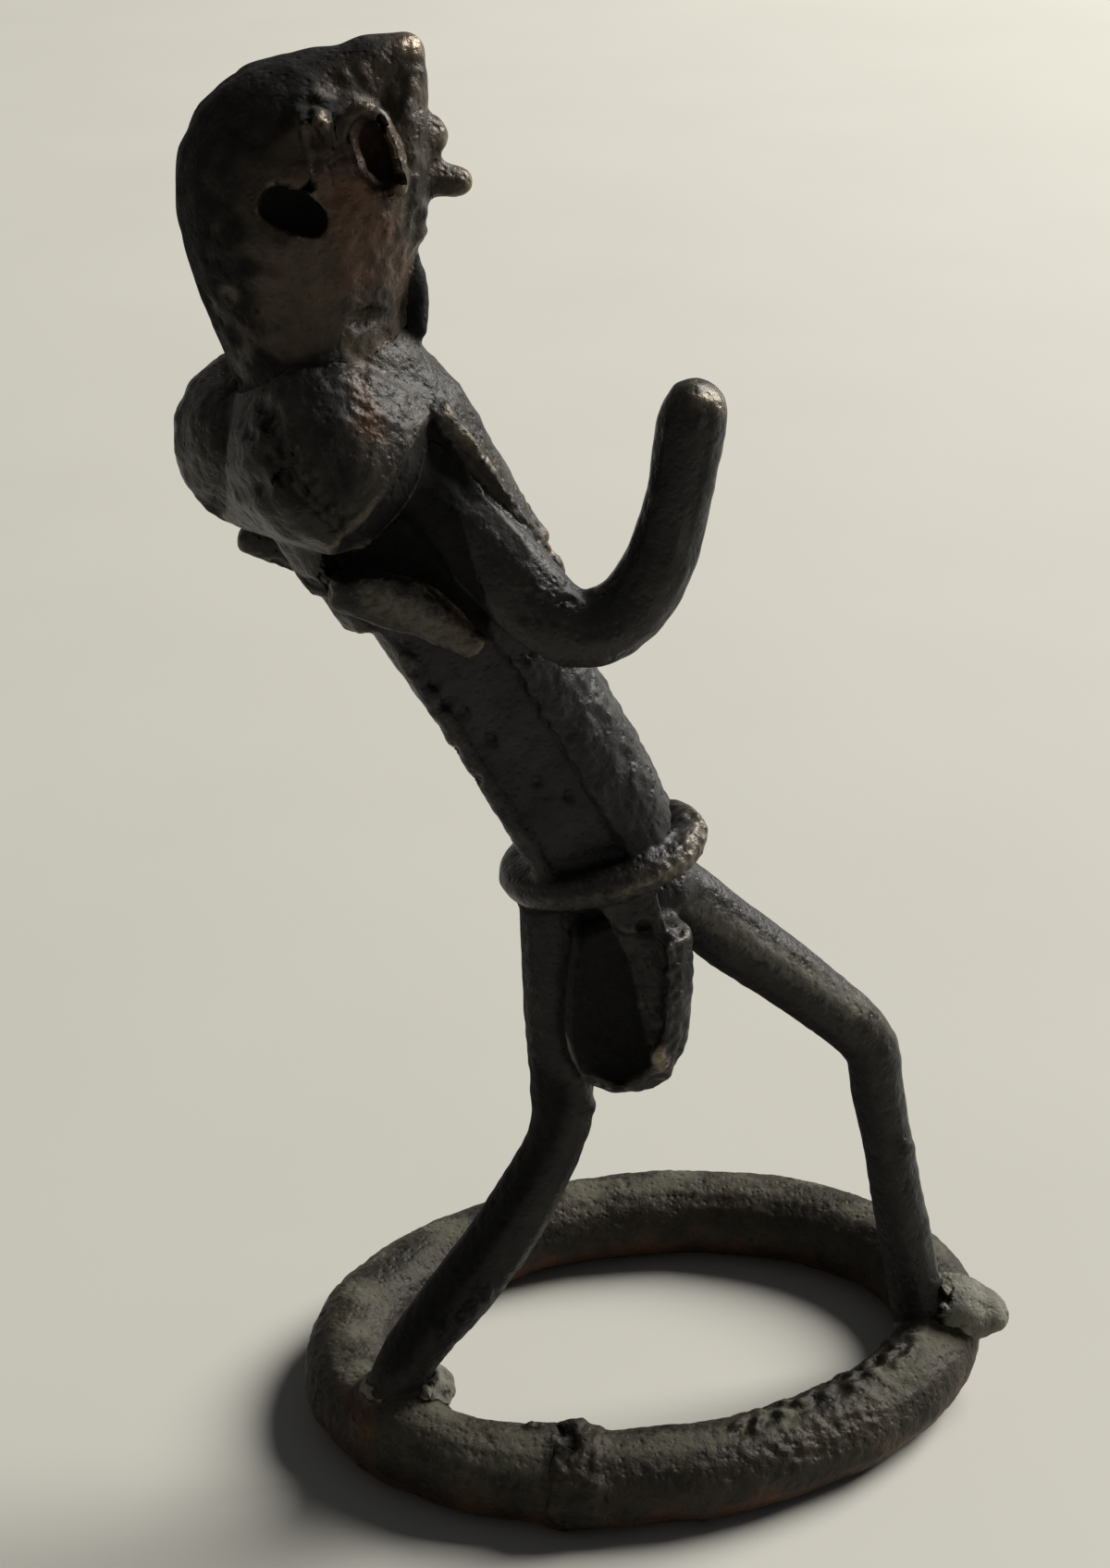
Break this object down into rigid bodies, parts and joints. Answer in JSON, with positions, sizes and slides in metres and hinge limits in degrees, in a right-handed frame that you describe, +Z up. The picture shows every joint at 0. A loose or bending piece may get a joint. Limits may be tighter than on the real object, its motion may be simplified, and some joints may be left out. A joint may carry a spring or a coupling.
{
  "type": "brass figurine",
  "caption": "Cast brass figurine of a striding figure that leans back, one arm raised, standing on an oval ring of rod.",
  "frame": {"origin": "under the middle of the whole object, on the surface that it stands on", "axes": "+Z up, +X the way the figure faces, -Y the side of the raised arm"},
  "size_m": [0.0668, 0.0446, 0.1164],
  "materials": {
    "dark_patina": "dark brown patina, semi-gloss, finely pitted",
    "worn_brown": "brown patina worn to gold on its edges, semi-gloss",
    "pale_crust": "rough casting skin with a pale grey-green crust, matt"
  },
  "bodies": {
    "root": {"base_ring": "dark_patina", "ring_joint_patch": "pale_crust", "rear_leg": "dark_patina", "front_leg": "worn_brown", "rear_foot": "pale_crust", "front_foot": "pale_crust", "hips": "dark_patina", "torso": "dark_patina", "back_strip": "worn_brown", "chest_panel": "worn_brown", "waist_belt": "dark_patina", "pouch": "dark_patina", "pouch_web": "worn_brown", "tunic": "dark_patina", "tunic_back_hem": "dark_patina", "near_front_flap": "worn_brown", "far_front_flap": "worn_brown", "near_leaf_flap": "worn_brown", "far_leaf_flap": "worn_brown", "near_arm": "dark_patina", "far_arm": "dark_patina", "neck_and_head": "worn_brown", "cap": "dark_patina", "near_eye_rim": "worn_brown", "far_eye_rim": "worn_brown", "near_ear": "worn_brown", "far_ear": "worn_brown", "mouth_rod": "worn_brown", "brow_bump": "worn_brown", "beard": "dark_patina"}
  },
  "joints": []
}
